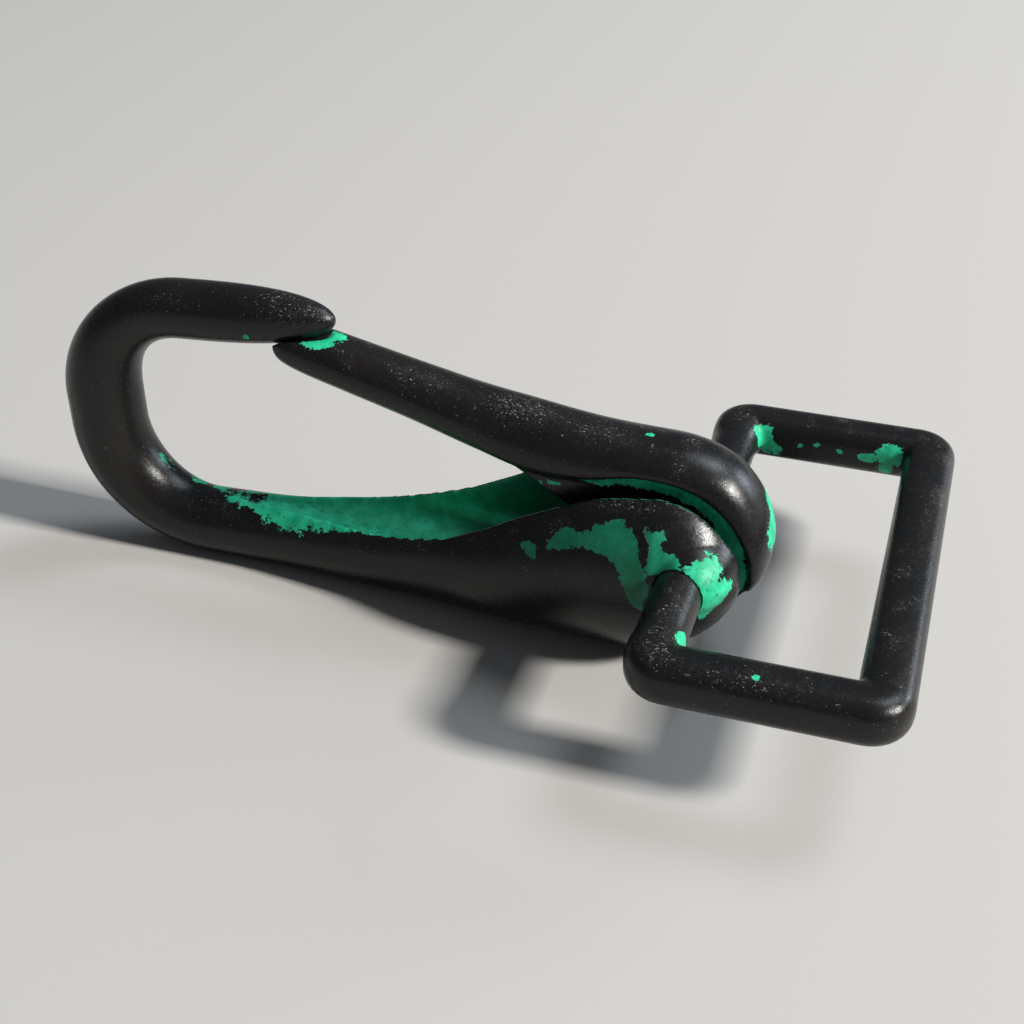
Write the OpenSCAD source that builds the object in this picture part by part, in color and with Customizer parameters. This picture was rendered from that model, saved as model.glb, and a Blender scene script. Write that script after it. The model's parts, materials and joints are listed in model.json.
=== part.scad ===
// Snap hook for 32 mm webbing: a cast J hook whose spine opens into a trough
// and two domed cheeks, a hollow cast gate that closes against the nose, a
// square sling ring whose own ends are the pivot pin, and a torsion spring
// round that pin. X runs along the hook towards the ring, Y along the pin,
// Z up. The hook stands on its spine at Z = 0, centred on X = Y = 0.

/* [Sling ring] */
// Width of the webbing slot, between the ring's side arms
slot_w = 33.6; // [28:0.2:40]
// Width of the ring's bar, seen from above
bar_w = 4.55; // [4.1:0.05:5.2]
// Height of the ring's bar
bar_h = 4.3; // [4.3:0.05:4.9]
// Pin axis to the middle of the far bar
ring_reach = 17.95; // [16:0.05:24]
// Radius of the ring's outer corners, seen from above
ring_corner = 3.6; // [2.6:0.1:4]
// Rounding of the bar's long edges
bar_edge = 1.75; // [0.8:0.05:1.9]
// Length of the shoulder where the square bar is turned down to the pin
shoulder_len = 2.6; // [1.5:0.1:3.5]
// Half of the gap left where the ring's two ends meet inside the gate
end_gap = 0.15; // [0.05:0.05:0.4]

/* [Pivot] */
// Diameter of the pivot pin
pin_d = 4.3; // [3.6:0.1:4.3]
// Radial running clearance of the pin in the cheeks and in the gate
pin_fit = 0.06; // [0.03:0.01:0.1]
// Height of the pin's axis over the underside of the spine
pin_height = 11; // [10.4:0.1:12.5]

/* [Hook] */
// Pin axis to the middle of the bend's curve
bend_reach = 47.65; // [42:0.5:60]
// Radius of the bend, to the middle of the rod
bend_r = 9.85; // [9.25:0.05:10.45]
// Straight length of rod between the two halves of the bend
bend_straight = 3; // [1.5:0.1:4]
// Slope of the nose, in degrees
nose_rise = 3.8; // [2:0.2:5]
// Length of the nose from the end of the bend to its tip
nose_len = 15.2; // [14:0.2:16]
// Half thickness of the nose at its root
nose_r = 2.72; // [2.3:0.02:2.9]
// Half thickness of the rod where the bend carries the load
bend_thick_r = 3.55; // [3.2:0.05:3.9]
// Half thickness of the rod where it turns into the spine
spine_r = 3.2; // [2.8:0.05:3.4]
// How far the round underside is cut back to a flat foot
foot_cut = 0.22; // [0.1:0.02:0.4]

/* [Head] */
// Half width of the head over its two domed cheeks
cheek_half_w = 8.9; // [8:0.1:10]
// Half width of the head at its round end
cheek_end_half_w = 5; // [4.8:0.1:5.6]
// Top of the cheeks over the pin axis
cheek_top = 7.1; // [6.4:0.1:7.4]
// Pin axis to the end of the cheeks
cheek_end = 4.55; // [4.2:0.05:4.8]
// Half width of the channel between the cheeks
channel_half_w = 4.35; // [4.1:0.05:4.5]
// Pin axis down to the floor of the channel
channel_depth = 7; // [6.6:0.1:7.4]
// Pin axis to the start of the trough along the spine
trough_reach = 46.5; // [42:0.5:48]

/* [Gate] */
// Half thickness of the gate's arm
arm_half_h = 2.4; // [2.2:0.05:2.5]
// Half width of the gate's domed outer shell
shell_half_w = 3.65; // [3.2:0.05:3.7]
// Half width of the gate's inner tongue, which carries the pin bore
tongue_half_w = 2.95; // [2.6:0.05:3.1]
// Radius of the tongue round the pin
tongue_r = 4.8; // [4.2:0.1:5.4]
// Half width of the hollow inside the gate
hollow_half_w = 1.8; // [1.7:0.05:1.9]
// Clearance between the closed gate and the nose
seat_gap = 0.14; // [0.12:0.02:0.4]
// How far the seat runs on past the nose's tip
seat_front = 0.9; // [0.3:0.1:1.4]

/* [Spring] */
// Wire diameter of the torsion spring
wire_d = 0.7; // [0.5:0.05:0.7]
// Turns of the spring round the pin
spring_turns = 3.5; // [2.5:1:3.5]
// Clearance between the coil and the pin
coil_gap = 0.25; // [0.15:0.05:0.3]

/* [Hidden] */

pin_r = pin_d / 2;
arm_y = (slot_w + bar_w) / 2;
foot_z = -pin_height;
hook_reach = bend_reach + bend_r + bend_thick_r;
pin_x = (hook_reach - ring_reach - bar_w / 2) / 2;

ring_points = 28;
bend_low_z = foot_z - foot_cut + spine_r + bend_r;
bend_high_z = bend_low_z + bend_straight;

function lerp(a, b, t) = a + (b - a) * t;
function clamp01(t) = min(1, max(0, t));
function ease(t) = (1 - cos(180 * clamp01(t))) / 2;
function arc(t) = sqrt(max(0, 1 - t * t));

// ---- Smooth solids from rows of points ----

// A closed solid through rows of points, each row one closed section
module skin(rows) {
    n = len(rows[0]);
    m = len(rows);
    sides = [
        for (i = [0 : m - 2], k = [0 : n - 1])
            for (f = [[i * n + k, i * n + (k + 1) % n, (i + 1) * n + k],
                      [i * n + (k + 1) % n, (i + 1) * n + (k + 1) % n, (i + 1) * n + k]]) f
    ];
    first = [for (k = [0 : n - 1]) n - 1 - k];
    last = [for (k = [0 : n - 1]) (m - 1) * n + k];
    polyhedron(points = [for (row = rows) each row], faces = concat(sides, [first, last]), convexity = 6);
}

// An oval section: c its centre in XZ, a the direction of its upper side,
// up and down its half heights to either side, w its half width along Y
function oval(c, a, up, down, w, phase = 0) = [
    for (k = [0 : ring_points - 1])
        let (t = 360 * (k + phase) / ring_points, h = (cos(t) > 0 ? up : down) * cos(t))
        [c[0] + h * cos(a), w * sin(t), c[1] + h * sin(a)]
];

// Smooth curve through the rows of a table, a few steps between each pair
function row_at(rows, i) = rows[min(len(rows) - 1, max(0, i))];
function between(rows, i, t) =
    let (a = row_at(rows, i - 1), b = row_at(rows, i), c = row_at(rows, i + 1), d = row_at(rows, i + 2))
    ((2 * b) + (c - a) * t + (2 * a - 5 * b + 4 * c - d) * t * t + (3 * b - a - 3 * c + d) * t * t * t) / 2;
function smooth_rows(rows, steps) = concat(
    [for (i = [0 : len(rows) - 2], j = [0 : steps - 1]) between(rows, i, j / steps)],
    [rows[len(rows) - 1]]
);

// ---- Hook body ----

// A point on the nose's middle line, d from the end of the bend
function nose_point(d) =
    [-bend_reach, bend_high_z]
    + bend_r * [-sin(nose_rise), cos(nose_rise)]
    + d * [cos(nose_rise), sin(nose_rise)];

function nose_section(d, len, gap = 0) =
    let (r = nose_r * sqrt(1 - pow(d / len, 3)) + gap)
    oval(nose_point(d), 90 + nose_rise, r, r, r, gap > 0 ? 0.5 : 0);

function bend_section(centre_z, a, r) =
    oval([-bend_reach + bend_r * cos(a), centre_z + bend_r * sin(a)], a, r, r, r);

// Sections of the spine and head, from the bend to the cheeks' crown: share
// of the way along, of the rise before the channel is cut, and of the swell
spine_top = foot_z - foot_cut + 2 * spine_r;
crown_x = -3;
crown_top = cheek_top + 0.2;
spine_shares = [
    [0, 0, 0],
    [0.17, 0.03, 0.026],
    [0.28, 0.09, 0.105],
    [0.395, 0.183, 0.22],
    [0.53, 0.346, 0.386],
    [0.646, 0.503, 0.614],
    [0.731, 0.668, 0.763],
    [0.816, 0.818, 0.877],
    [0.893, 0.934, 0.956],
    [1, 1, 1]
];
function spine_station(s) = [
    lerp(-bend_reach, crown_x, s[0]),
    lerp(spine_top, crown_top, s[1]),
    lerp(spine_r, cheek_half_w, s[2])
];
end_z = -1.3;
heel_x = -6;

function upper_line(x) = lerp(end_z, crown_top, arc((x - crown_x) / (cheek_end - crown_x)));
function lower_line(x) =
    x < heel_x ? foot_z - foot_cut
    : lerp(end_z, foot_z - foot_cut, arc((x - heel_x) / (cheek_end - heel_x)));
function end_half_width(x) =
    lerp(cheek_end_half_w, cheek_half_w, arc((x - crown_x) / (cheek_end - crown_x)));

function spine_section(x, top, w) =
    let (low = lower_line(x), h = (top - low) / 2)
    oval([x, (top + low) / 2], -90, h, h, w);

spine_substeps = 3;
spine_curve = smooth_rows([for (s = spine_shares) spine_station(s)], spine_substeps);
nose_steps = [0.15, 0.35, 0.55, 0.7, 0.81, 0.89, 0.95, 0.985, 0.9995];
body_rows = concat(
    [for (i = [9 : -1 : 1]) let (x = lerp(crown_x, cheek_end, sin(9.9 * i)))
        spine_section(x, upper_line(x), end_half_width(x))],
    [for (i = [len(spine_curve) - 1 : -1 : 1])
        spine_section(spine_curve[i][0], spine_curve[i][1], spine_curve[i][2])],
    [for (i = [12 : -1 : 0]) let (t = i / 12, a = lerp(180, 270, t))
        bend_section(bend_low_z, a, lerp(bend_thick_r, spine_r, ease(1.35 * t - 0.3)))],
    [for (i = [10 : -1 : 0]) let (t = i / 10, a = lerp(90 + nose_rise, 180, t))
        bend_section(bend_high_z, a, lerp(nose_r, bend_thick_r, pow(ease(t), 1.6)))],
    [for (s = nose_steps) nose_section(s * nose_len, nose_len)]
);

// The trough and the channel between the cheeks, as one cutter
cutter_top = cheek_top + 2.5;
channel_floor_r = 2.4;
function channel_section(x) =
    let (t = clamp01((x + trough_reach) / (0.52 * trough_reach)),
         w = max(0.05, channel_half_w * pow(t, 0.8)),
         floor_z = lerp(spine_top - 0.1, -channel_depth, ease((x + trough_reach) / (0.75 * trough_reach))),
         h = min(w, channel_floor_r))
    concat(
        [for (k = [0 : 11]) let (b = -180 * k / 11) [x, w * cos(b), floor_z + h + h * sin(b)]],
        [[x, -w, cutter_top], [x, w, cutter_top]]
    );

module channel() {
    skin([
        for (i = [0 : 24])
            channel_section(lerp(-trough_reach, 0, i / 24)),
        channel_section(2 * cheek_end)
    ]);
}

module hook_body() {
    color([0.13, 0.13, 0.14])
        at_pin() difference() {
            skin(body_rows);
            channel();
            pin_bore(2 * cheek_half_w);
            translate([-2 * bend_reach, -2 * cheek_half_w, foot_z - bend_r])
                cube([3 * bend_reach, 4 * cheek_half_w, bend_r]);
        }
}

// ---- Gate ----

// Where the gate's arm leaves its head, and its tip under the nose
arm_root_x = -15;
arm_root_z = 6.7;
tip_setback = 5.8;
tip_drop = 3.07;
gate_tip = nose_point(nose_len) - [tip_setback, tip_drop];

// Sections of the arm: share of the way from the tip to the root, lift over
// the straight line between them, direction of the upper side, and the half
// heights up and down; lift and heights are shares of arm_half_h, and the half
// width that comes last is a share of the shell's
arm_sections = [
    [0, 0, 105, 0.14, 0.18, 0.18],
    [0.012, 0.09, 105, 0.5, 0.6, 0.45],
    [0.048, 0.25, 105, 0.75, 0.9, 0.61],
    [0.122, 0.35, 105, 0.92, 1.1, 0.69],
    [0.275, 0.35, 105, 1, 1.14, 0.74],
    [0.524, 0.31, 105, 1.1, 1.16, 0.8],
    [0.772, 0.25, 103, 1.21, 1.21, 0.9],
    [1, 0, 99, 1.71, 0.79, 0.98]
];

// Sections of the head, over the pin and down round the head's end: angle about
// the pin, distance from it in tongue radii, then as above
head_sections = [
    [147.6, 2.467, 96, 1.5, 0.46, 1],
    [127, 1.867, 92, 0.9, 0.33, 1],
    [103, 1.485, 74, 0.92, 0.29, 1],
    [77.3, 1.229, 52, 1, 0.29, 1],
    [45.8, 1.046, 32, 0.87, 0.29, 1],
    [12.8, 1.035, 10, 0.66, 0.25, 1],
    [-14, 1.12, -8, 0.45, 0.25, 0.98],
    [-25, 1.17, -16, 0.3, 0.21, 0.93],
    [-31, 1.2, -20, 0.08, 0.08, 0.84]
];

function form(s) = [s[2], arm_half_h * s[3], arm_half_h * s[4], shell_half_w * s[5]];
function arm_point(s) = lerp(gate_tip, [arm_root_x, arm_root_z], s[0]) + [0, arm_half_h * s[1]];
function head_point(s) = tongue_r * s[1] * [cos(s[0]), sin(s[0])];
gate_stations = concat(
    [for (s = arm_sections) concat(arm_point(s), form(s))],
    [for (s = head_sections) concat(head_point(s), form(s))]
);

gate_substeps = 3;
gate_curve = smooth_rows(gate_stations, gate_substeps);
gate_rows = [for (s = gate_curve) oval([s[0], s[1]], s[2], s[3], s[4], s[5])];

// The tongue's outline: along the middle of the shell, past the shell's end,
// round under the pin, and back along the web's lower edge
tongue_first = 6;
tongue_last = 14;
tongue_heel_r = 5.65;
heel_angles = [-22, -34, -45];
under_pin = [-70, -120];
web_bend_x = -7.4;
web_bend_z = 0.6;
web_root_x = -11.3;
web_root_z = 2.8;
module tongue_outline() {
    circle(r = tongue_r, $fn = 64);
    polygon(concat(
        [for (i = [tongue_first : tongue_last]) [gate_stations[i][0], gate_stations[i][1]]],
        [for (a = heel_angles) tongue_heel_r * [cos(a), sin(a)]],
        [for (a = under_pin) tongue_r * [cos(a), sin(a)]],
        [[web_bend_x, web_bend_z], [web_root_x, web_root_z]]
    ));
}

// The hollow under the gate that houses the spring, open downwards
hollow_r = 3.7;
hollow_len = 14;
hollow_bevel = 1;
module hollow_outline() {
    below = -channel_depth - wire_d;
    circle(r = hollow_r, $fn = 64);
    polygon([
        [0, hollow_r], [-hollow_len + hollow_bevel, hollow_r], [-hollow_len, hollow_r - hollow_bevel],
        [-hollow_len, below], [0, below]
    ]);
}

// The saddle that the nose rests in when the gate is closed
module nose_saddle() {
    seat_len = nose_len + seat_front;
    skin([for (s = nose_steps) nose_section(s * seat_len, seat_len, seat_gap)]);
}

// A plate outline in XZ, carried to either side of the middle
module plate(half_w) {
    rotate([90, 0, 0])
        translate([0, 0, -half_w])
            linear_extrude(height = 2 * half_w) children();
}

module gate() {
    color([0.12, 0.12, 0.13])
        at_pin() difference() {
            union() {
                skin(gate_rows);
                plate(tongue_half_w) tongue_outline();
            }
            plate(hollow_half_w) hollow_outline();
            pin_bore(2 * shell_half_w);
            nose_saddle();
        }
}

// ---- Sling ring ----

// The bar's section: a rectangle with round edges
module bar_section() {
    sx = bar_w / 2 - bar_edge;
    sy = bar_h / 2 - bar_edge;
    square([bar_w, 2 * sy], center = true);
    square([2 * sx, bar_h], center = true);
    for (x = [-sx, sx], y = [-sy, sy])
        translate([x, y]) circle(r = bar_edge, $fn = 32);
}

// A straight length of bar along +X from the origin
module bar_length(len) {
    rotate([90, 0, 90]) linear_extrude(height = len) bar_section();
}

// The outer quarter of a corner, turned about the corner's centre
module corner() {
    rotate_extrude(angle = 90, $fn = 64) intersection() {
        translate([ring_corner - bar_w / 2, 0]) bar_section();
        translate([0, -bar_h]) square([2 * ring_corner, 2 * bar_h]);
    }
}

module half_ring() {
    side_y = arm_y + bar_w / 2 - ring_corner;
    far_x = ring_reach + bar_w / 2 - ring_corner;
    near_x = ring_corner - bar_w / 2;
    translate([near_x, arm_y, 0]) bar_length(far_x - near_x);
    translate([far_x, side_y, 0]) corner();
    translate([near_x, side_y, 0]) rotate([0, 0, 90]) corner();
    translate([ring_reach, 0, 0]) rotate([0, 0, 90]) bar_length(side_y);
    turned_stub(side_y);
}

// The ring's end: square bar, turned down over a shoulder to the round pin
// The turning tool leaves a cone whose wide end just touches the bar's corners
cone_share = 0.62;
overlap = 0.01;
module turned_stub(side_y) {
    inner_y = arm_y - bar_w / 2;
    start_y = inner_y - shoulder_len;
    intersection() {
        translate([0, start_y, 0]) rotate([0, 0, 90]) bar_length(side_y - start_y);
        union() {
            translate([0, start_y, 0]) rotate([-90, 0, 0])
                cylinder(r1 = pin_r, r2 = cone_share * bar_w, h = shoulder_len, $fn = 64);
            translate([0, inner_y - overlap, 0]) rotate([-90, 0, 0])
                cylinder(r = bar_w, h = bar_w + overlap, $fn = 64);
        }
    }
    translate([0, end_gap, 0]) rotate([-90, 0, 0])
        cylinder(d = pin_d, h = inner_y - shoulder_len / 2 - end_gap, $fn = 64);
}

module sling_ring() {
    color([0.14, 0.14, 0.15])
        at_pin() union() {
            half_ring();
            mirror([0, 1, 0]) half_ring();
        }
}

// ---- Spring ----

coil_r = pin_r + coil_gap + wire_d / 2;
coil_pitch = wire_d * 1.1;
leg_rest_x = -10.5;
leg_low_z = -channel_depth + wire_d * 0.75;
leg_high_z = hollow_r - wire_d;
coil_sweep = 360 * spring_turns;
coil_first = 90;
coil_step = 30;

wire_points = concat(
    [[leg_rest_x, -coil_pitch * spring_turns / 2, leg_high_z]],
    [for (a = [0 : coil_step : coil_sweep])
        let (along = a / 360 - spring_turns / 2)
        [coil_r * cos(coil_first - a), coil_pitch * along, coil_r * sin(coil_first - a)]],
    [[leg_rest_x, coil_pitch * spring_turns / 2, leg_low_z]]
);

function unit(v) = v / norm(v);
function wire_ring(i) =
    let (p = wire_points, n = len(p),
         t = unit(p[min(n - 1, i + 1)] - p[max(0, i - 1)]),
         u = unit(cross([0, 1, 0], t)), v = cross(t, u))
    [for (k = [0 : 7]) p[i] + wire_d / 2 * (u * cos(45 * k) - v * sin(45 * k))];

module gate_spring() {
    color([0.55, 0.55, 0.57])
        at_pin() skin([for (i = [0 : len(wire_points) - 1]) wire_ring(i)]);
}

// ---- Shared ----

module at_pin() {
    translate([pin_x, 0, pin_height]) children();
}

module pin_bore(half_len) {
    rotate([90, 0, 0]) cylinder(r = pin_r + pin_fit, h = 2 * half_len, center = true, $fn = 64);
}

hook_body();
gate();
sling_ring();
gate_spring();
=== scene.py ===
import json
import math

import bmesh
import bpy
import numpy as np
from mathutils import Matrix, Vector

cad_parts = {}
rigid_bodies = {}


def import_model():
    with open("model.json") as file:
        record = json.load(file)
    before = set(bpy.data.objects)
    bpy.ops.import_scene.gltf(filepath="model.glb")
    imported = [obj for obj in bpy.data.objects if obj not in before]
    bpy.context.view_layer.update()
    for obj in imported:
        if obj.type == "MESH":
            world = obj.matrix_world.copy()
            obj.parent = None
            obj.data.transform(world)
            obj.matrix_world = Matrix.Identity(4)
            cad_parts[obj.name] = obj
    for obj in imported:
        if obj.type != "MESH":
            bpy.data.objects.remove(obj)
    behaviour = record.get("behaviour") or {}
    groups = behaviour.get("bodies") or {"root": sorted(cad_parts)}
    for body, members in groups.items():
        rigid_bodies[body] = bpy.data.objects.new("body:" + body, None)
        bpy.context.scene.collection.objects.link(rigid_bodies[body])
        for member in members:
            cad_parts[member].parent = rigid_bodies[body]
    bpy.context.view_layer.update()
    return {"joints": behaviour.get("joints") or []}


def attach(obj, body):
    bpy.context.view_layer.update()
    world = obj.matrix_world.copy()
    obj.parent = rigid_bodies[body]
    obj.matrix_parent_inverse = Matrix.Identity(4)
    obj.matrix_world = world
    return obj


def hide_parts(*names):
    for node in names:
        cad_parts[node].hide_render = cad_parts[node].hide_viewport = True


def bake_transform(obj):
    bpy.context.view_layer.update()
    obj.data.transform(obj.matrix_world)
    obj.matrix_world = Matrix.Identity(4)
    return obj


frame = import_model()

# A worn snap hook: a cast J hook, a sprung domed gate and a square sling ring.
# Shapes are worked out in millimetres from the pivot pin, X towards the ring,
# Y along the pin, Z up, and put in place in metres at the end.
mm = 0.001
pinPlace = np.array(frame["joints"][0]["pos_m"]) / mm
footZ = -pinPlace[2]      # underside of the part

# The sling ring's inturned ends, and the slack of the bores that they run in
pin = {"d": 4.3, "fit": 0.06}


# Half a cosine wave: from 0 to 1, level at both ends
def ease(t):
    return (1 - np.cos(np.pi * np.clip(t, 0, 1))) / 2


# A quarter circle: 1 at 0, down to 0 at 1
def arcOf(t):
    return np.sqrt(np.maximum(0, 1 - t * t))


def lerp(a, b, t):
    return a + (b - a) * t


# A curve through the rows of a table: Catmull-Rom, so each row is met exactly
def through(rows, steps):
    rows = np.asarray(rows, float)
    padded = np.vstack([rows[:1], rows, rows[-1:]])
    t = np.linspace(0, 1, steps, endpoint=False)[:, None]
    parts = []
    for a, b, c, d in zip(padded[:-3], padded[1:-2], padded[2:-1], padded[3:]):
        parts.append((2 * b + (c - a) * t + (2 * a - 5 * b + 4 * c - d) * t ** 2
                      + (3 * b - a - 3 * c + d) * t ** 3) / 2)
    return np.vstack(parts + [rows[-1:]])


# A grid of ovals: centre (x, z), direction of the upper side in degrees, half
# heights to either side of the centre and half width along Y, one row each
def ovalRows(cx, cz, angle, up, down, width, around=96, phase=0.0):
    t = 2 * np.pi * (np.arange(around) + phase) / around
    cos, sin = np.cos(t)[None, :], np.sin(t)[None, :]
    cx, cz, up, down, width = (np.broadcast_to(np.asarray(v, float), np.shape(cx))[:, None]
                               for v in (cx, cz, up, down, width))
    a = np.radians(np.broadcast_to(angle, cx[:, 0].shape))[:, None]
    h = np.where(cos > 0, up, down) * cos
    return np.stack([cx + h * np.cos(a), width * sin, cz + h * np.sin(a)], -1)


# A closed skin over rows of points, each row one closed section
def skin(name, rows):
    count, around = rows.shape[:2]
    i, k = np.meshgrid(np.arange(count - 1), np.arange(around), indexing="ij")
    nextK = (k + 1) % around
    quads = np.stack([i * around + k, i * around + nextK,
                      (i + 1) * around + nextK, (i + 1) * around + k], -1).reshape(-1, 4)
    faces = quads.tolist()
    faces.append(list(range(around))[::-1])
    faces.append([(count - 1) * around + n for n in range(around)])
    mesh = bpy.data.meshes.new(name)
    mesh.from_pydata(((rows.reshape(-1, 3) + pinPlace) * mm).tolist(), [], faces)
    mesh.update()
    piece = bpy.data.objects.new(name, mesh)
    bpy.context.scene.collection.objects.link(piece)
    outwards(piece)
    return piece


def outwards(piece):
    work = bmesh.new()
    work.from_mesh(piece.data)
    bmesh.ops.recalc_face_normals(work, faces=work.faces[:])
    work.to_mesh(piece.data)
    work.free()


# A plate: an outline in XZ carried along Y from -half to half
def plate(name, outline, half):
    x, z = np.asarray(outline, float).T
    rows = np.stack([np.column_stack([x, np.full(len(x), y), z]) for y in (-half, half)])
    return skin(name, rows)


# A circle's outline in XZ
def disc(radius, count=96):
    t = 2 * np.pi * np.arange(count) / count
    return np.column_stack([radius * np.cos(t), radius * np.sin(t)])


def pinBore(half):
    return plate("bore", disc(pin["d"] / 2 + pin["fit"]), half)


def bake(piece):
    bpy.context.view_layer.update()
    graph = bpy.context.evaluated_depsgraph_get()
    mesh = bpy.data.meshes.new_from_object(piece.evaluated_get(graph))
    old = piece.data
    piece.modifiers.clear()
    piece.data = mesh
    bpy.data.meshes.remove(old)


def combine(piece, other, operation):
    cut = piece.modifiers.new("cut", "BOOLEAN")
    cut.object = other
    cut.operation = operation
    cut.solver = "EXACT"
    bake(piece)
    bpy.data.objects.remove(other)


# Cast surface: an even fine mesh whose sharp edges are worn round
def castSurface(piece, sizes):
    remesh = piece.modifiers.new("grain", "REMESH")
    remesh.mode = "VOXEL"
    remesh.voxel_size = sizes["voxel"] * mm
    soften = piece.modifiers.new("soften", "SMOOTH")
    soften.factor = 0.5
    soften.iterations = sizes["softening"]
    bake(piece)
    piece.data.polygons.foreach_set("use_smooth", np.ones(len(piece.data.polygons), bool))
    piece.data.update()


def pointsOf(piece):
    co = np.empty(len(piece.data.vertices) * 3)
    piece.data.vertices.foreach_get("co", co)
    return co.reshape(-1, 3) / mm - pinPlace


def normalsOf(piece):
    n = np.empty(len(piece.data.vertices) * 3)
    piece.data.vertices.foreach_get("normal", n)
    return n.reshape(-1, 3)


def giveAttribute(piece, name, values):
    layer = piece.data.attributes.new(name, "FLOAT", "POINT")
    layer.data.foreach_set("value", np.clip(values, 0, 1).astype(np.float32))


hook = {
    "bendReach": 47.65,      # pin to the middle of the bend's curve
    "bendR": 9.85,           # bend, to the middle of the rod
    "bendStraight": 3.0,     # straight between the two halves of the bend
    "noseRise": 3.8,         # slope of the nose, degrees
    "noseLen": 15.2,
    "noseR": 2.72,           # half thickness of the nose
    "bendThickR": 3.55,      # half thickness at the bend
    "spineR": 3.2,           # half thickness where the rod turns into the spine
    "footCut": 0.22,         # how far the underside is cut back flat
    "cheekHalfW": 8.9,       # at the crown
    "cheekEndHalfW": 5.0,    # at the end beside the ring
    "cheekTop": 7.1,
    "cheekEnd": 4.55,        # past the pin
    "channelHalfW": 4.35,    # between the cheeks, for the gate
    "channelDepth": 7.0,
    "floorRise": 2.4,        # most height of its oval floor
    "troughReach": 46.5,     # from the pin, to where the trough starts
    "troughWidens": 0.52,    # share of its reach over which it grows wide
    "troughDeepens": 0.75,   # the same for its depth
    "troughFlare": 0.8,      # power by which it grows wide
    "bossAt": [0.5, 0.1],    # swelling of each cheek round the pin, x and z
    "bossR": [4.1, 3.7],
    "bossReach": 9.75,
    "bossForm": 2.6,         # power of its superellipse
    "voxel": 0.215,          # grain of the finished surface
    "softening": 6,          # passes that round the cast edges
}
bendLowZ = footZ - hook["footCut"] + hook["spineR"] + hook["bendR"]
bendHighZ = bendLowZ + hook["bendStraight"]
spineTop = footZ - hook["footCut"] + 2 * hook["spineR"]
crownX = -3.0      # widest and highest place of the cheeks
endZ = -1.3        # middle of their end
heelX = -6.0       # where the underside leaves the level
crownTop = hook["cheekTop"] + 0.2
# From the bend to the cheeks' crown: share of the way, of the rise, of the swell
spineShares = [
    [0, 0, 0],
    [0.17, 0.03, 0.026],
    [0.28, 0.09, 0.105],
    [0.395, 0.183, 0.22],
    [0.53, 0.346, 0.386],
    [0.646, 0.503, 0.614],
    [0.731, 0.668, 0.763],
    [0.816, 0.818, 0.877],
    [0.893, 0.934, 0.956],
    [1, 1, 1],
]


# The underside: level as far as the heel, then up to the cheeks' end as a quarter oval
def lowerLine(x):
    low = footZ - hook["footCut"]
    return np.where(x < heelX, low,
                    lerp(endZ, low, arcOf((x - heelX) / (hook["cheekEnd"] - heelX))))


# The nose: its radius falls as the root of 1 - (share of its length) cubed
def nosePoint(d):
    rise = math.radians(hook["noseRise"])
    x = -hook["bendReach"] - hook["bendR"] * math.sin(rise) + d * math.cos(rise)
    z = bendHighZ + hook["bendR"] * math.cos(rise) + d * math.sin(rise)
    return x, z


def noseRows(length, gap=0.0, phase=0.0):
    s = np.sin(np.linspace(0.06, 0.4997 * np.pi, 40))
    x, z = nosePoint(s * length)
    r = hook["noseR"] * np.sqrt(1 - s ** 3) + gap
    return ovalRows(x, z, 90 + hook["noseRise"], r, r, r, phase=phase)


# Round sections of radius r, set at the angle a on the bend's circle
def bendRows(a, centreZ, r):
    rad = np.radians(a)
    return ovalRows(-hook["bendReach"] + hook["bendR"] * np.cos(rad),
                    centreZ + hook["bendR"] * np.sin(rad), a, r, r, r)


# Ovals that stand upright between the underside and the height top
def spineRows(x, top, width):
    low = lowerLine(x)
    h = (top - low) / 2
    return ovalRows(x, (top + low) / 2, -90, h, h, width)


# The whole casting in one run of sections: the cheeks' end, where height and width
# fall as a quarter oval, the spine through the shares above, the two halves of the
# bend with an eased thickness, and the nose
def bodyRows():
    t = np.linspace(1, 0, 24)[:-1]
    x = lerp(crownX, hook["cheekEnd"], np.sin(t * 0.4995 * np.pi))
    share = (x - crownX) / (hook["cheekEnd"] - crownX)
    end = spineRows(x, lerp(endZ, crownTop, arcOf(share)),
                    lerp(hook["cheekEndHalfW"], hook["cheekHalfW"], arcOf(share)))
    ends = np.array([[-hook["bendReach"], spineTop, hook["spineR"]],
                     [crownX, crownTop, hook["cheekHalfW"]]])
    spine = through(lerp(ends[0], ends[1], np.array(spineShares)), 10)[::-1][:-1]
    back = spineRows(spine[:, 0], spine[:, 1], spine[:, 2])
    t = np.linspace(1, 0, 40)
    low = bendRows(lerp(180, 270, t), bendLowZ,
                   lerp(hook["bendThickR"], hook["spineR"], ease(1.35 * t - 0.3)))
    high = bendRows(lerp(90 + hook["noseRise"], 180, t), bendHighZ,
                    lerp(hook["noseR"], hook["bendThickR"], ease(t) ** 1.6))
    return np.vstack([end, back, low, high, noseRows(hook["noseLen"])])


# The trough along the spine and the channel between the cheeks: at each x a
# half oval floor with straight walls above it
def channelShape(x):
    reach = hook["troughReach"]
    t = np.clip((x + reach) / (hook["troughWidens"] * reach), 0, 1)
    w = np.maximum(0.05, hook["channelHalfW"] * t ** hook["troughFlare"])
    floor = lerp(spineTop - 0.1, -hook["channelDepth"],
                 ease((x + reach) / (hook["troughDeepens"] * reach)))
    return w, floor


def channelRows():
    x = np.append(np.linspace(-hook["troughReach"], 0, 90), hook["cheekEnd"] + 3)
    w, floor = (v[:, None] for v in channelShape(x))
    h = np.minimum(w, hook["floorRise"])
    b = -np.pi * np.arange(24)[None, :] / 23
    y = np.hstack([w * np.cos(b), -w, w])
    z = np.hstack([floor + h + h * np.sin(b), np.full((len(x), 2), hook["cheekTop"] + 2.5)])
    return np.stack([np.broadcast_to(x[:, None], y.shape), y, z], -1)


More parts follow.
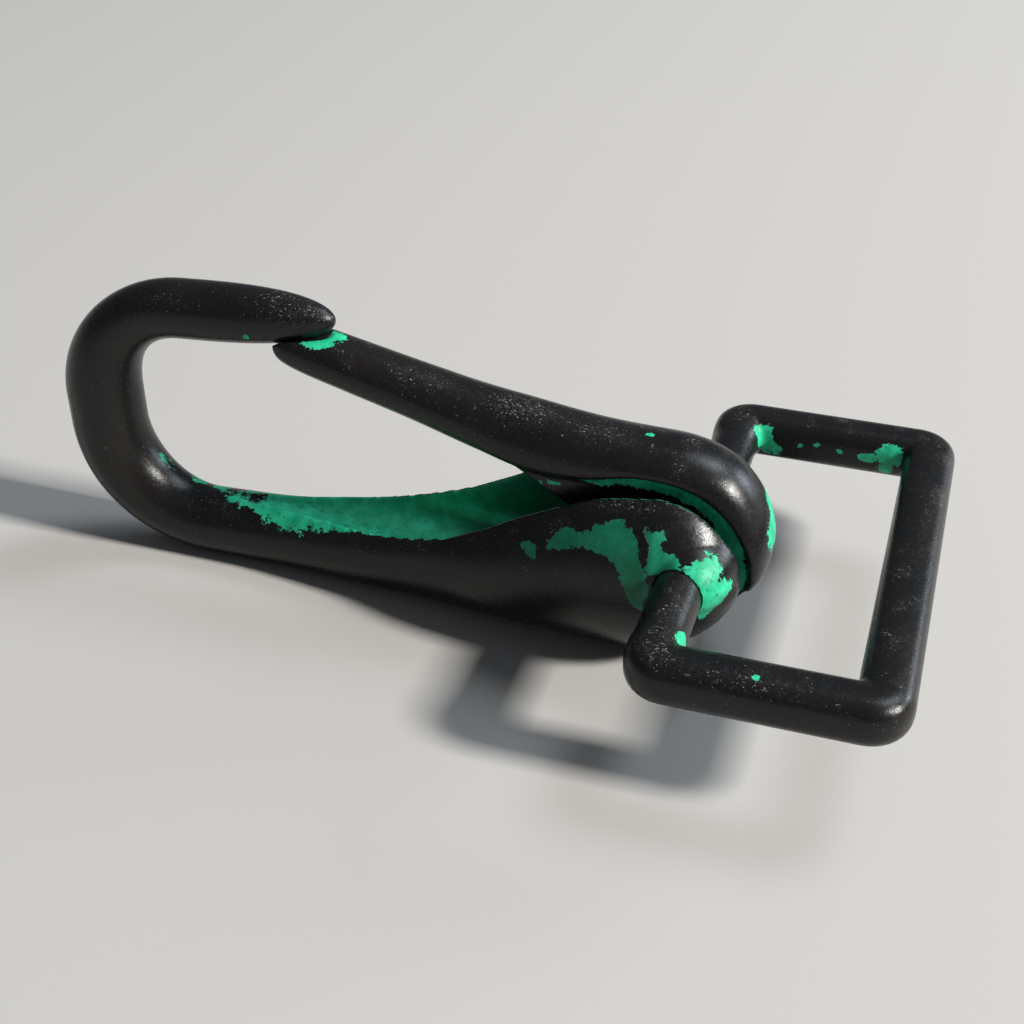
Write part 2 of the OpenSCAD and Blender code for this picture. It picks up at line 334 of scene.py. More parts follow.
# The swelling round the pin: an oval whose size falls towards its ends as a
# superellipse of the share of its reach
def bossRows():
    s = np.sin(np.linspace(-0.49 * np.pi, 0.49 * np.pi, 60))
    size = (1 - np.abs(s) ** hook["bossForm"]) ** (1 / hook["bossForm"])
    t = 2 * np.pi * np.arange(96)[None, :] / 96
    x = hook["bossAt"][0] + hook["bossR"][0] * size[:, None] * np.cos(t)
    z = hook["bossAt"][1] + hook["bossR"][1] * size[:, None] * np.sin(t)
    y = np.broadcast_to(hook["bossReach"] * s[:, None], x.shape)
    return np.stack([x, y, z], -1)


def makeHook():
    body = skin("hook_body_cast", bodyRows())
    combine(body, skin("boss", bossRows()), "UNION")
    combine(body, skin("channel", channelRows()), "DIFFERENCE")
    left, right, below = -hook["bendReach"] - 20, 10, footZ - 5      # clear of the casting
    under = [[left, below], [right, below], [right, footZ], [left, footZ]]
    combine(body, plate("under", under, hook["cheekHalfW"] + 2), "DIFFERENCE")
    castSurface(body, hook)
    combine(body, pinBore(hook["cheekHalfW"] + 2), "DIFFERENCE")     # last: its edge stays crisp
    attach(body, "hook")
    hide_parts("hook_body")
    print("hook body:", len(body.data.polygons), "faces")
    return body


gateSizes = {
    "shellHalfW": 3.65,
    "tongueHalfW": 2.95,
    "tongueR": 4.8,
    "heelR": 5.65,
    "hollowHalfW": 1.8,      # room for the spring
    "hollowR": 3.7,
    "hollowLen": 14.0,
    "webBend": [-7.4, 0.6],  # corners of the tongue, x and z
    "webRoot": [-11.3, 2.8],
    "armRootX": -15.0,
    "armRootZ": 6.7,
    "armHalfH": 2.4,
    "tipSetback": 5.8,       # from the nose's end to the arm's tip
    "tipDrop": 3.07,
    "seatGap": 0.14,         # gate to nose
    "seatFront": 0.9,
    "voxel": 0.17,           # as the hook's
    "softening": 5,
}
# The arm, tip to root: share of the way, lift over the straight line, direction
# of the upper side, half heights up and down, half width
armSections = [
    [0, 0, 105, 0.14, 0.18, 0.18],
    [0.012, 0.09, 105, 0.5, 0.6, 0.45],
    [0.048, 0.25, 105, 0.75, 0.9, 0.61],
    [0.122, 0.35, 105, 0.92, 1.1, 0.69],
    [0.275, 0.35, 105, 1, 1.14, 0.74],
    [0.524, 0.31, 105, 1.1, 1.16, 0.8],
    [0.772, 0.25, 103, 1.21, 1.21, 0.9],
    [1, 0, 99, 1.71, 0.79, 0.98],
]
# The head: angle about the pin, distance from it in tongue radii, then as above
headSections = [
    [147.6, 2.467, 96, 1.5, 0.46, 1],
    [127, 1.867, 92, 0.9, 0.33, 1],
    [103, 1.485, 74, 0.92, 0.29, 1],
    [77.3, 1.229, 52, 1, 0.29, 1],
    [45.8, 1.046, 32, 0.87, 0.29, 1],
    [12.8, 1.035, 10, 0.66, 0.25, 1],
    [-14, 1.12, -8, 0.45, 0.25, 0.98],
    [-25, 1.17, -16, 0.3, 0.21, 0.93],
    [-31, 1.2, -20, 0.08, 0.08, 0.84],
]


# Sections of the arm stand over the straight line from tip to root, those of the
# head lie round the pin
def gateStations():
    arm, head = np.array(armSections), np.array(headSections)
    tipX, tipZ = nosePoint(hook["noseLen"])
    tip = np.array([tipX - gateSizes["tipSetback"], tipZ - gateSizes["tipDrop"]])
    root = np.array([gateSizes["armRootX"], gateSizes["armRootZ"]])
    thick = gateSizes["armHalfH"]
    armAt = lerp(tip, root, arm[:, :1]) + np.outer(arm[:, 1] * thick, [0, 1])
    a = np.radians(head[:, 0])
    headAt = gateSizes["tongueR"] * head[:, 1:2] * np.column_stack([np.cos(a), np.sin(a)])
    form = np.vstack([arm, head])[:, 2:] * [1, thick, thick, gateSizes["shellHalfW"]]
    return np.hstack([np.vstack([armAt, headAt]), form])


# The tongue in XZ: under the head, round the heel and the hub, and back by the web
def tongueOutline():
    r = gateSizes["tongueR"]
    upper = gateStations()[6:15, :2].tolist()
    heel = np.radians([-22, -34, -45])
    under = np.radians([-70, -120])
    arc = [gateSizes["heelR"] * np.cos(heel), gateSizes["heelR"] * np.sin(heel)]
    hub = [r * np.cos(under), r * np.sin(under)]
    turn = np.hstack([arc, hub]).T.tolist()
    return upper + turn + [gateSizes["webBend"], gateSizes["webRoot"]]


# Room for the spring in XZ, open below
def hollowOutline():
    r, length = gateSizes["hollowR"], gateSizes["hollowLen"]
    low = -hook["channelDepth"] - 0.7
    return [[0, r], [-length + 1, r], [-length, r - 1], [-length, low], [0, low]]


def makeGate():
    s = through(gateStations(), 12)
    gate = skin("gate_cast", ovalRows(s[:, 0], s[:, 1], s[:, 2], s[:, 3], s[:, 4], s[:, 5]))
    combine(gate, plate("hub", disc(gateSizes["tongueR"]), gateSizes["tongueHalfW"]), "UNION")
    combine(gate, plate("tongue", tongueOutline(), gateSizes["tongueHalfW"]), "UNION")
    combine(gate, plate("hollow", hollowOutline(), gateSizes["hollowHalfW"]), "DIFFERENCE")
    combine(gate, plate("eye", disc(gateSizes["hollowR"]), gateSizes["hollowHalfW"]), "DIFFERENCE")
    combine(gate, pinBore(gateSizes["shellHalfW"] + 1), "DIFFERENCE")
    seat = noseRows(hook["noseLen"] + gateSizes["seatFront"], gateSizes["seatGap"], 0.5)
    combine(gate, skin("seat", seat), "DIFFERENCE")
    castSurface(gate, gateSizes)
    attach(gate, "gate")
    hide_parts("gate")
    print("gate:", len(gate.data.polygons), "faces")
    return gate


ring = {
    "slotW": 33.6,           # between its arms
    "barW": 4.55,
    "barH": 4.3,
    "reach": 17.95,          # pin to the middle of the far bar
    "cornerR": 3.6,
    "squareness": 2.65,      # power of the bar's section, 2 is round
    "shoulderLen": 2.6,      # where the bar thins to the pin
    "endGap": 0.15,          # each end to the middle
    "voxel": 0.2,            # as the hook's
    "softening": 5,
}


# Half of the ring's middle line, from the pin's end round to the far bar,
# with the direction it runs in and the bar's half width, half height and
# squareness (2 is round) at each point
def ringPath():
    armY = (ring["slotW"] + ring["barW"]) / 2
    inner = ring["slotW"] / 2
    bend = ring["cornerR"] - ring["barW"] / 2
    pinR = pin["d"] / 2
    square = ring["squareness"]
    rows = []
    shoulder = inner - ring["shoulderLen"]
    for y in np.linspace(ring["endGap"], shoulder, 30):
        rows.append([0, y, 90, pinR, pinR, 2.0])
    for s in np.linspace(0, 1, 18)[1:]:
        k = float(ease(s))
        rows.append([0, lerp(shoulder, inner + 0.4, s), 90, lerp(pinR, ring["barW"] / 2, k ** 1.5),
                     lerp(pinR, ring["barH"] / 2, k), lerp(2.0, square, k ** 1.5)])
    full = [ring["barW"] / 2, ring["barH"] / 2, square]
    for a in np.linspace(0, 90, 16):
        rad = math.radians(a)
        rows.append([bend - bend * math.cos(rad),
                     armY - bend + bend * math.sin(rad), 90 - a] + full)
    for x in np.linspace(bend, ring["reach"] - bend, 40)[1:]:
        rows.append([x, armY, 0] + full)
    for a in np.linspace(0, 90, 16)[1:]:
        rad = math.radians(a)
        rows.append([ring["reach"] - bend + bend * math.sin(rad),
                     armY - bend + bend * math.cos(rad), -a] + full)
    for y in np.linspace(armY - bend, 0, 40)[1:]:
        rows.append([ring["reach"], y, -90] + full)
    return np.array(rows)


# The bar's section is a superellipse, |y/w|^n + |z/h|^n = 1, set across the line
def barRows(path, around=72):
    x, y, heading, w, h, n = (path[:, i][:, None] for i in range(6))
    t = 2 * np.pi * np.arange(around)[None, :] / around
    across = w * np.sign(np.cos(t)) * np.abs(np.cos(t)) ** (2 / n)
    up = h * np.sign(np.sin(t)) * np.abs(np.sin(t)) ** (2 / n)
    rad = np.radians(heading)
    return np.stack([x - across * np.sin(rad), y + across * np.cos(rad), up + 0 * x], -1)


def makeRing():
    half = ringPath()
    other = half[::-1][1:].copy()
    other[:, 1] *= -1
    other[:, 2] = -180 - other[:, 2]
    loop = skin("sling_ring_cast", barRows(np.vstack([half, other])))
    castSurface(loop, ring)
    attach(loop, "ring")
    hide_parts("sling_ring")
    print("sling ring:", len(loop.data.polygons), "faces")
    return loop


# Where the green undercoat shows. Each patch is an oval blob: centre, half
# sizes, strength
hookPatches = [
    [(-52.1, 0.5, -2.7), (0.9, 0.9, 1.7), 0.62],     # inner bend
    [(-49.3, 1.5, -4.7), (1.2, 0.9, 0.7), 0.8],
    [(-47.1, 1.4, -4.8), (1.1, 0.9, 0.7), 0.85],
    [(-45.0, -0.6, -4.8), (0.8, 0.8, 0.6), 0.72],
    [(-40.8, -2.3, 14.1), (0.35, 0.8, 0.35), 0.9],   # under the nose
    [(6.0, 7.4, -0.4), (3.2, 1.6, 1.6), 0.8],        # far cheek
    [(-9.0, 7.0, 2.0), (2.6, 1.6, 1.2), 0.7],
]
gatePatches = [
    [(-34.3, -1.2, 14.3), (1.9, 1.2, 0.62), 1.0],    # saddle under the nose
    [(-33.2, 0.2, 14.4), (0.9, 1.3, 0.6), 1.0],
    [(5.6, 1.4, 3.9), (1.0, 1.2, 1.3), 0.8],         # dome's end
    [(6.2, 0.2, 1.7), (0.9, 1.9, 1.9), 0.85],
    [(-12.9, -2.9, 4.8), (1.2, 0.4, 0.35), 0.6],     # root of the tongue
    [(-4.9, 0.0, 9.3), (0.4, 0.35, 0.5), 0.66],
]
ringPatches = [
    [(2.4, 16.7, 0.9), (1.1, 0.8, 1.5), 0.95],       # far inner corner
    [(3.4, 16.8, -0.5), (1.2, 0.5, 1.1), 0.7],
    [(6.1, 16.8, 0.3), (0.36, 0.3, 0.3), 0.75],      # far arm, drips
    [(7.6, 16.9, 0.6), (0.38, 0.3, 0.3), 0.75],
    [(9.8, 16.8, 0.3), (0.36, 0.3, 0.32), 0.75],
    [(12.4, 16.8, 0.1), (1.0, 0.4, 0.5), 0.85],
    [(14.4, 17.0, 0.6), (1.3, 0.6, 1.3), 0.9],       # far corner at the bar
    [(14.2, 16.8, -1.0), (0.8, 0.4, 1.0), 0.85],
    [(2.0, -16.2, 1.0), (1.0, 1.0, 1.2), 1.0],       # near inner corner
    [(3.9, -16.8, 1.1), (1.9, 0.3, 0.4), 0.8],
    [(8.4, -19.9, 2.1), (0.3, 0.3, 0.3), 0.9],
    [(15.7, -6.0, -0.4), (0.5, 4.0, 0.7), 0.66],     # bar's inner face
    [(15.7, -13.5, 0.4), (0.5, 2.6, 0.9), 0.7],
]
# Where the black is scuffed, blobs as above
hookScuffs = [
    [(-36.8, -0.8, 17.0), (3.6, 1.6, 1.5), 0.8],
    [(-48.8, -1.8, 16.6), (3.0, 1.2, 1.2), 0.55],
    [(-5.5, -4.9, 5.2), (5.0, 0.7, 1.4), 0.7],
]
gateScuffs = [
    [(-15.8, -0.8, 10.6), (3.6, 1.7, 1.6), 0.85],
    [(-9.0, -1.0, 9.8), (3.4, 1.6, 1.4), 0.65],
    [(-1.2, 0.3, 9.3), (0.9, 0.9, 0.9), 0.95],
    [(-24.6, -0.9, 12.2), (3.0, 1.4, 1.4), 0.5],
]
ringScuffs = [
    [(0.4, -18.0, 2.2), (1.8, 3.4, 1.2), 0.7],
    [(7.5, -20.4, 1.9), (5.5, 1.0, 0.9), 0.6],
    [(0.2, 18.0, 2.2), (1.5, 2.0, 1.0), 0.6],
    [(18.4, 6.0, 1.8), (0.4, 8.5, 0.5), 0.6],
]
# The near cheek's patches are outlines in x and z. A scratch program worked these
# points out, and some were then moved by hand: report.md says how
cheekOutlines = [
    [(-14.2, 0.3), (-13.7, 0.8), (-13.0, 0.6), (-12.7, 0.0), (-12.5, -0.4), (-13.2, -0.4),
     (-13.8, -0.1)],
    [(-12.1, 1.3), (-11.0, 2.3), (-10.3, 2.8), (-9.0, 2.8), (-8.0, 3.3), (-7.9, 3.7), (-5.7, 4.4),
     (-5.0, 4.4), (-4.0, 3.5), (-3.4, 2.0), (-2.8, 1.0), (-2.6, -0.1), (-2.9, -2.5), (-3.7, -2.2),
     (-4.6, -1.1), (-5.1, 0.7), (-6.3, 1.7), (-8.5, 2.0), (-10.3, 1.2), (-11.8, 1.0)],
    [(-3.7, 4.2), (-2.5, 4.1), (-2.0, 4.3), (-1.7, 3.8), (-2.2, 3.5), (-1.1, 2.7), (-0.7, 3.0),
     (0.1, 2.2), (-0.1, 1.8), (-0.6, 1.7), (-0.9, 2.1), (-1.0, 1.2), (-2.5, 1.0), (-2.9, 1.5),
     (-2.8, 3.2), (-3.3, 3.8)],
    [(0.5, 2.4), (1.1, 2.8), (1.9, 3.0), (2.6, 2.7), (3.1, 2.0), (3.4, 1.1), (3.9, 0.7),
     (3.95, -0.4), (3.6, -1.2), (3.0, -1.8), (2.5, -2.5), (2.0, -3.7), (1.7, -2.6), (1.8, -1.0),
     (1.8, 0.2), (1.4, 1.1), (0.5, 1.9)],
]


# How far inside an outline each point lies, in mm, negative outside
def depthIn(points, outline):
    outline = np.array(outline)
    inside = np.zeros(len(points), bool)
    nearest = np.full(len(points), 1e9)
    for a, b in zip(outline, np.roll(outline, -1, 0)):
        run = b - a
        t = np.clip(((points - a) @ run) / (run @ run), 0, 1)
        nearest = np.minimum(nearest, np.linalg.norm(points - a - t[:, None] * run, axis=1))
        crosses = (a[1] > points[:, 1]) != (b[1] > points[:, 1])
        height = np.where(b[1] == a[1], 1e-9, b[1] - a[1])
        inside ^= crosses & (points[:, 0] < a[0] + (points[:, 1] - a[1]) * run[0] / height)
    return np.where(inside, nearest, -nearest)


# Within an outline the paint is green, fading over an edge of this breadth in mm
cheekEdge = 0.85


def cheekPaint(points, normals):
    field = np.zeros(len(points))
    near = (points[:, 1] < -4) & (normals[:, 1] < 0.15) & (points[:, 0] > -16)     # near cheek's outside
    for outline in cheekOutlines:
        depth = depthIn(points[near][:, ::2], outline)
        field[near] = np.maximum(field[near], np.clip(0.5 + depth / cheekEdge, 0, 1))
    return field


# A blob is full to half its size and gone at one and a half, the strongest counts
def patchField(points, patches):
    field = np.zeros(len(points))
    for centre, size, strength in patches:
        away = np.linalg.norm((points - np.array(centre)) / np.array(size), axis=1)
        field = np.maximum(field, strength * np.clip(1.5 - away, 0, 1))
    return field


# A socket of a material's tree: + - and * on it add Math nodes
class Wire:
    def __init__(self, tree, socket=None):
        self.tree = tree
        self.socket = socket

    def node(self, kind, settings=None, values=None, out=0):
        made = self.tree.nodes.new(kind)
        for key, value in (settings or {}).items():
            setattr(made, key, value)
        for key, value in (values or {}).items():
            if isinstance(value, Wire):
                self.tree.links.new(value.socket, made.inputs[key])
            else:
                made.inputs[key].default_value = value
        return Wire(self.tree, made.outputs[out])

    def maths(self, operation, a, b):
        return self.node("ShaderNodeMath", {"operation": operation}, {0: a, 1: b})

    def __add__(self, other):
        return self.maths("ADD", self, other)

    def __radd__(self, other):
        return self.maths("ADD", other, self)

    def __sub__(self, other):
        return self.maths("SUBTRACT", self, other)

    def __rsub__(self, other):
        return self.maths("SUBTRACT", other, self)

    def __mul__(self, other):
        return self.maths("MULTIPLY", self, other)

    def __rmul__(self, other):
        return self.maths("MULTIPLY", other, self)

    def step(self, low, high):
        return self.node("ShaderNodeMapRange", {"interpolation_type": "SMOOTHSTEP"},
                         {"Value": self, "From Min": low, "From Max": high})

    def most(self, other):
        return self.maths("MAXIMUM", self, other)

    def noise(self, place, scale, detail=4.0, rough=0.55):
        return self.node("ShaderNodeTexNoise", None,
                         {"Vector": place, "Scale": scale, "Detail": detail, "Roughness": rough})

    def mixColour(self, factor, a, b):
        return self.node("ShaderNodeMix", {"data_type": "RGBA"}, {0: factor, 6: a, 7: b}, out=2)


finish = {
    "black": (0.0052, 0.0056, 0.0064, 1),
    "brownBlack": (0.0078, 0.007, 0.0064, 1),
    "green": (0.008, 0.34, 0.165, 1),
    "paleGreen": (0.026, 0.50, 0.28, 1),
    "darkGreen": (0.002, 0.06, 0.032, 1),
    "dust": (0.30, 0.30, 0.29, 1),
    "brass": (0.26, 0.235, 0.19, 1),
    "blackGloss": 0.27,
    "chipDepth": 0.00006,    # metres
}


# Black paint over green, worn and flecked: patch says where the black is gone,
# wear where it is rubbed
def wornPaint(name, shift):
    material = bpy.data.materials.new(name)
    material.use_nodes = True
    tree = material.node_tree
    shader = tree.nodes["Principled BSDF"]
    shader.inputs["Specular IOR Level"].default_value = 0.3
    w = Wire(tree)
    place = w.node("ShaderNodeTexCoord", out=3)
    place = w.node("ShaderNodeMapping", {"vector_type": "POINT"},
                   {"Vector": place, "Location": shift, "Scale": (1000, 1000, 1000)})
    patch = w.node("ShaderNodeAttribute", {"attribute_name": "patch"}, out=2)
    wear = w.node("ShaderNodeAttribute", {"attribute_name": "wear"}, out=2)
    paintedShade = w.node("ShaderNodeAttribute", {"attribute_name": "paintedShade"}, out=2)

    edge = w.noise(place, 0.75, 5.0, 0.62)
    fine = w.noise(place, 3.0, 4.0, 0.6)
    broad = w.noise(place, 0.16, 3.0, 0.5)
    clumps = w.noise(place, 0.42, 3.0, 0.55)

    rim = w.node("ShaderNodeAttribute", {"attribute_name": "rim"}, out=2)
    patches = (patch + (edge - 0.5) * 1.25 + (fine - 0.5) * 0.5).step(0.47, 0.53)
    green = patches.most((rim + (edge - 0.5) * 0.2).step(0.46, 0.54))
    skinTone = w.mixColour(broad.step(0.4, 0.62), finish["black"], finish["brownBlack"])
    paint = w.mixColour(edge.step(0.4, 0.66), finish["green"], finish["paleGreen"])
    stain = (w.noise(place, 1.6, 5.0, 0.65) + broad * 0.3).step(0.72, 0.8)
    # Dark green for random stains, and as painted shade in the recesses and on the near cheek
    paint = w.mixColour((stain * 0.5).most(paintedShade * 0.85), paint, finish["darkGreen"])
    scuff = w.node("ShaderNodeAttribute", {"attribute_name": "scuff"}, out=2)
    rubbed = (wear * clumps.step(0.47, 0.68) * 0.85).most(scuff * (clumps * 1.3 + 0.45))
    speck = (w.noise(place, 5.2, 3.0, 0.65) + rubbed * 0.1).step(0.69, 0.76)
    along = w.node("ShaderNodeMapping", None,
                   {"Vector": place, "Rotation": (0, 0, 0.5), "Scale": (0.45, 1.7, 1.7)})
    fleck = (w.noise(along, 3.2, 4.0, 0.7) + rubbed * 0.1).step(0.715, 0.77)
    dots = w.mixColour(fine.step(0.5, 0.6), finish["dust"], finish["brass"])
    haze = rubbed * fine.step(0.48, 0.72) * 0.06
    black = w.mixColour((speck.most(fleck) * 0.7).most(haze), skinTone, dots)
    colour = w.mixColour(green, black, paint)
    tree.links.new(colour.socket, shader.inputs["Base Color"])
    rough = finish["blackGloss"] + (fine - 0.5) * 0.3 + rubbed * 0.1 + green * 0.2 + speck * 0.1
    tree.links.new(rough.socket, shader.inputs["Roughness"])
    grain = w.noise(place, 8.0, 2.0, 0.5)
    height = grain * 0.55 + fine * 0.1 + edge * 0.15 + clumps * 0.4 - green * 0.6 + speck * 0.2
    bump = w.node("ShaderNodeBump", None,
                  {"Strength": 0.6, "Distance": finish["chipDepth"], "Height": height})
    tree.links.new(bump.socket, shader.inputs["Normal"])
    return material


def dress(piece, material, patches, scuffs, extra=None, paintedShade=None, rim=None):
    points, normals = pointsOf(piece), normalsOf(piece)
    field = patchField(points, patches)
    if extra is not None:
        field = np.maximum(field, extra(points, normals))
    giveAttribute(piece, "patch", field)
    # Painted shade: where a shade function is given, it darkens the green paint
    giveAttribute(piece, "paintedShade", paintedShade(points) if paintedShade else np.zeros(len(points)))
    giveAttribute(piece, "rim", rim(points, normals) if rim else np.zeros(len(points)))
    giveAttribute(piece, "wear", np.clip(normals[:, 2] * 0.6 + 0.35, 0, 1))
    giveAttribute(piece, "scuff", patchField(points, scuffs))
    piece.data.materials.clear()
    piece.data.materials.append(material)


# How far a face looks in to the middle of the part
def turnedIn(points, normals):
    return -np.sign(points[:, 1]) * normals[:, 1]


# The trough keeps most of its green: flaky where it starts, spilling over its
# low rims there
def troughPaint(points, normals):
    x, y, z = points.T
    w, floor = channelShape(x)
    near = (x > -hook["troughReach"] - 2) & (z > floor - 1.2) & (z < hook["cheekTop"] + 0.5)
    spill = np.interp(x, [-44, -39, -35, -31, -28], [1.0, 1.1, 0.5, 0.1, 0.0])
    fall = np.interp(x, [-36, -28], [1.5, 0.45])
    cover = np.clip(0.5 + (w + spill - np.abs(y)) / fall, 0, 1)
    cover = np.maximum(cover, np.clip((turnedIn(points, normals) - 0.5) / 0.3, 0, 1))
    solid = np.interp(x, [-48.5, -46, -43, -41.3, -39.5, -10, -6],
                      [0.25, 0.4, 0.47, 0.7, 0.9, 0.95, 1.0])
    return np.where(near & (normals[:, 2] > -0.3), solid * cover, 0)


def hookPaint(points, normals):
    return np.maximum(troughPaint(points, normals), cheekPaint(points, normals))


# The cheeks' rims, where the face turns in to the channel, are rubbed to green
def rimLine(points, normals):
    x, y, z = points.T
    w, floor = channelShape(x)
    edge = np.clip(0.5 + (w + 0.17 - np.abs(y)) / 0.6, 0, 1)
    edge = edge * np.clip((0.97 - turnedIn(points, normals)) / 0.15, 0, 1)
    return np.where(z > floor + 1.5, edge, 0) * np.clip((x + 13) / 5, 0, 1)


# Painted shade: the green is darkened deep between the cheeks and on the near cheek, where shade falls
def hookPaintedShade(points):
    x, y, z = points.T
    w, floor = channelShape(x)
    deep = np.clip((x + 25) / 9, 0, 1) * np.clip((hook["cheekTop"] - 0.4 - z) / 1.5, 0, 1)
    side = 0.25 * np.clip((-2.4 - x) / 0.6, 0, 1) + 0.7 * np.clip(0.3 - x, 0, 1)
    return np.where(np.abs(y) < w + 0.1, deep, np.where(y < -5, side, 0))


# Painted shade: the tongue's sides low in the recess by the hub are darkened a little
def tonguePaintedShade(points):
    x, y, z = points.T
    side = np.abs(y) < gateSizes["tongueHalfW"] + 0.1
    return np.where(side & (z < 7) & (np.hypot(x, z) < 12), 0.12, 0)


# The gate's tongue is green in a band under the shell's lower rim, high over the
# arm and lower round the head's end
# Round the head's end the band sits low, and the black kept above it is painted shadow under the shell's
# rim
def gatePaint(points, normals):
    x, y, z = points.T
    stations = gateStations()[7:]
    angle = np.degrees(np.arctan2(stations[:, 1], stations[:, 0]))
    reach = np.hypot(stations[:, 0], stations[:, 1]) - 0.3 * stations[:, 4]
    here = np.degrees(np.arctan2(z, x))
    rim = np.interp(here, angle[::-1], reach[::-1])
    depth = rim - np.hypot(x, z)
    middle = np.interp(here, [20, 70], [1.25, 0.65])
    band = 1.5 - np.abs(depth - middle) / 0.95
    side = (np.abs(np.abs(y) - gateSizes["tongueHalfW"]) < 0.35) & (np.abs(normals[:, 1]) > 0.7)
    fade = np.clip((x + 14.5) / 4, 0, 1) ** 0.5
    return np.where(side & (depth > 0), 0.92 * np.clip(band, 0, 1) * fade, 0)


hookPiece = makeHook()
gatePiece = makeGate()
ringPiece = makeRing()
dress(hookPiece, wornPaint("hook_paint", (0.0, 0.0, 0.0)), hookPatches, hookScuffs,
      hookPaint, hookPaintedShade, rimLine)
dress(gatePiece, wornPaint("gate_paint", (31.0, 7.0, 3.0)), gatePatches, gateScuffs,
      gatePaint, tonguePaintedShade)
dress(ringPiece, wornPaint("ring_paint", (-17.0, 23.0, 11.0)), ringPatches, ringScuffs)
print("paint done")


spring = {
    "wire": 0.7,
    "turns": 3.5,
    "coilGap": 0.25,         # coil to pin
    "pitch": 0.77,
    "legReach": 10.5,
    "legDrop": 0.525,        # lower leg over the channel's floor
    "sides": 12,
    "steel": (0.42, 0.42, 0.44, 1),
    "stain": (0.16, 0.13, 0.10, 1),
}


def springSteel():
    material = bpy.data.materials.new("spring_steel")
    material.use_nodes = True
    tree = material.node_tree
    shader = tree.nodes["Principled BSDF"]
    shader.inputs["Metallic"].default_value = 1.0
    w = Wire(tree)
    place = w.node("ShaderNodeTexCoord", out=3)
    place = w.node("ShaderNodeMapping", None, {"Vector": place, "Scale": (1000, 1000, 1000)})
    stain = w.noise(place, 0.8, 4.0)
    colour = w.mixColour(stain.step(0.35, 0.7), spring["steel"], spring["stain"])
    tree.links.new(colour.socket, shader.inputs["Base Color"])
    tree.links.new((0.3 + stain * 0.3).socket, shader.inputs["Roughness"])
    return material


# Torsion spring: a coil whose angle falls evenly along Y, with a straight leg at
# each end, one under the gate's roof and one on the channel's floor
def springLine():
    coilR = pin["d"] / 2 + spring["coilGap"] + spring["wire"] / 2
    turn = np.radians(90 - np.linspace(0, 360 * spring["turns"], 127))
    y = np.linspace(-0.5, 0.5, len(turn)) * spring["pitch"] * spring["turns"]
    coil = np.column_stack([coilR * np.cos(turn), y, coilR * np.sin(turn)])
    high = [-spring["legReach"], y[0], gateSizes["hollowR"] - spring["wire"]]
    low = [-spring["legReach"], y[-1], spring["legDrop"] - hook["channelDepth"]]
    return np.vstack([high, coil, low])


# The wire is a circle carried along the line. It stays where it is built and does
# not wind up as the gate turns
def makeSpring():
    line = springLine()
    along = np.gradient(line, axis=0)
    along /= np.linalg.norm(along, axis=1)[:, None]
    side = np.cross([0, 1, 0], along)
    side /= np.linalg.norm(side, axis=1)[:, None]
    over = np.cross(along, side)
    t = 2 * np.pi * np.arange(spring["sides"])[None, :, None] / spring["sides"]
    circle = np.cos(t) * side[:, None] + np.sin(t) * over[:, None]
    rows = line[:, None] + spring["wire"] / 2 * circle
    wire = skin("gate_spring_wire", rows)
    wire.data.polygons.foreach_set("use_smooth", np.ones(len(wire.data.polygons), bool))
    wire.data.materials.append(springSteel())
    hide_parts("gate_spring")
    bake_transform(wire)
    print("spring:", len(wire.data.polygons), "faces")


makeSpring()


view = {
    "place": (18.13, -109.94, 77.79),   # from the pin, mm
    "turn": 17.79,                      # degrees to the right of +Y
    "down": 34.34,
    "roll": -0.22,
    "focal": 1550 / 1024,               # picture widths
    "sensor": 36,                       # mm
}


def makeCamera():
    az, el, roll = (math.radians(view[k]) for k in ("turn", "down", "roll"))
    forward = Vector((-math.sin(az) * math.cos(el), math.cos(az) * math.cos(el), -math.sin(el)))
    right = Vector((math.cos(az), math.sin(az), 0))
    up = right.cross(forward)
    turnedRight = math.cos(roll) * right + math.sin(roll) * up
    turnedUp = -math.sin(roll) * right + math.cos(roll) * up
    data = bpy.data.cameras.new("camera")
    data.sensor_width = view["sensor"]
    data.lens = view["sensor"] * view["focal"]
    data.clip_start = 0.005
    camera = bpy.data.objects.new("camera", data)
    turn = Matrix((turnedRight, turnedUp, -forward)).transposed().to_4x4()
    camera.matrix_world = Matrix.Translation((np.array(view["place"]) + pinPlace) * mm) @ turn
    bpy.context.scene.collection.objects.link(camera)
    bpy.context.scene.camera = camera


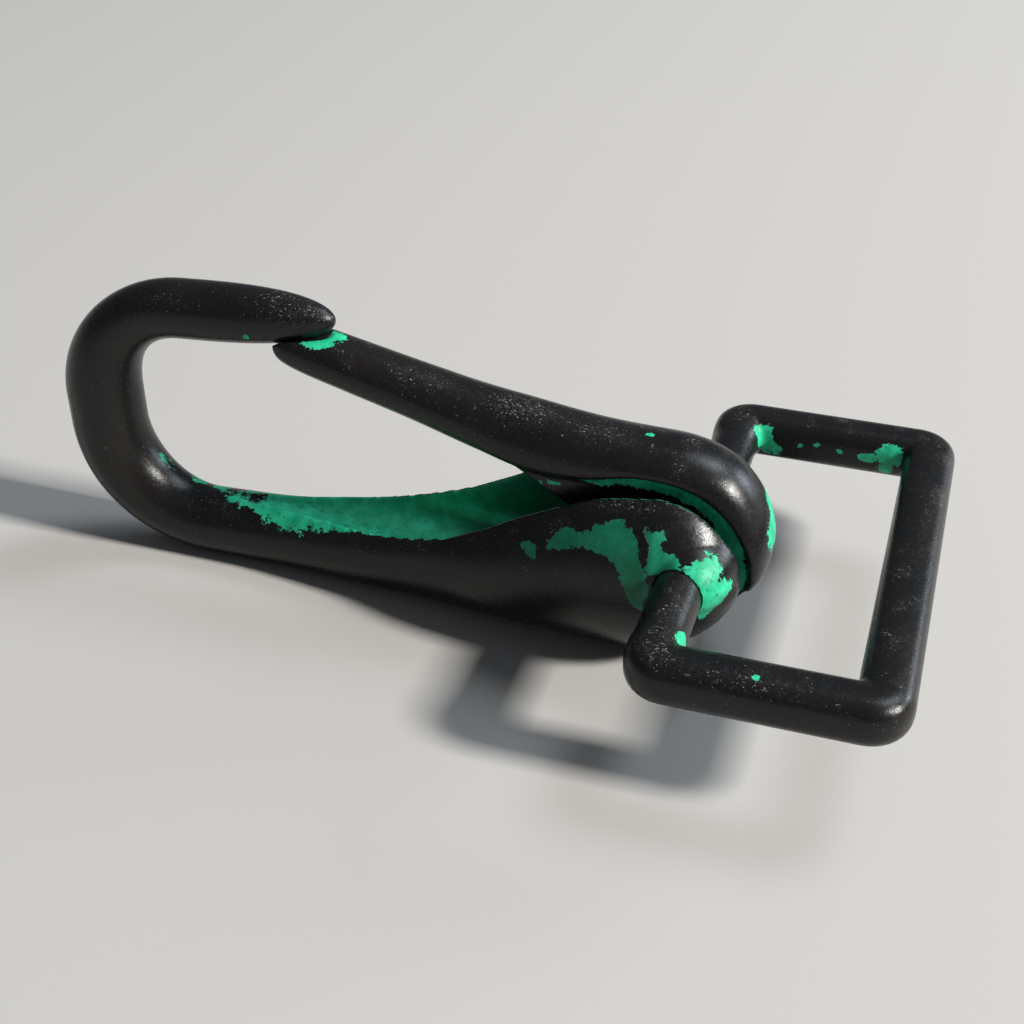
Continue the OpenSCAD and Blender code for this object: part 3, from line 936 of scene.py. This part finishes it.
lamps = {
    "key": {"azimuth": 94, "height": 35, "size": 0.19, "power": 42, "colour": (1, 0.97, 0.93)},
    "edge": {"azimuth": 50, "height": 19, "size": 0.47, "power": 8.4, "colour": (0.8, 0.89, 1)},
    "sky": {"azimuth": 45, "height": 56, "size": 0.56, "power": 8.4, "colour": (0.84, 0.92, 1)},
}
lampAway = 1.5      # metres


def makeLamp(name, azimuth, height, size, power, colour):
    az, el = math.radians(azimuth), math.radians(height)
    place = Vector((math.sin(az) * math.cos(el), math.cos(az) * math.cos(el), math.sin(el)))
    place = place * lampAway
    data = bpy.data.lights.new(name, "AREA")
    data.size = size
    data.energy = power
    data.color = colour
    lamp = bpy.data.objects.new(name, data)
    lamp.location = place
    lamp.rotation_euler = (-place).to_track_quat("-Z", "Y").to_euler()
    bpy.context.scene.collection.objects.link(lamp)


floorLook = {
    "half": 1.2,      # metres
    "colour": (0.42, 0.41, 0.395, 1),
    "roughness": 0.9,
    "specular": 0.1,
}


def makeFloor():
    half = floorLook["half"]
    corners = [(-half, -half, 0), (half, -half, 0), (half, half, 0), (-half, half, 0)]
    mesh = bpy.data.meshes.new("floor")
    mesh.from_pydata(corners, [], [(0, 1, 2, 3)])
    floor = bpy.data.objects.new("floor", mesh)
    material = bpy.data.materials.new("floor")
    material.use_nodes = True
    shader = material.node_tree.nodes["Principled BSDF"]
    shader.inputs["Base Color"].default_value = floorLook["colour"]
    shader.inputs["Roughness"].default_value = floorLook["roughness"]
    shader.inputs["Specular IOR Level"].default_value = floorLook["specular"]
    mesh.materials.append(material)
    bpy.context.scene.collection.objects.link(floor)


studio = {"colour": (0.75, 0.8, 0.88, 1), "strength": 0.16}


def makeWorld():
    world = bpy.data.worlds.new("studio")
    world.use_nodes = True
    background = world.node_tree.nodes["Background"]
    background.inputs["Color"].default_value = studio["colour"]
    background.inputs["Strength"].default_value = studio["strength"]
    bpy.context.scene.world = world


makeCamera()
makeFloor()
makeWorld()
for lampName, lamp in lamps.items():
    makeLamp(lampName, **lamp)
bpy.context.scene.view_settings.view_transform = "Standard"
print("stage set")
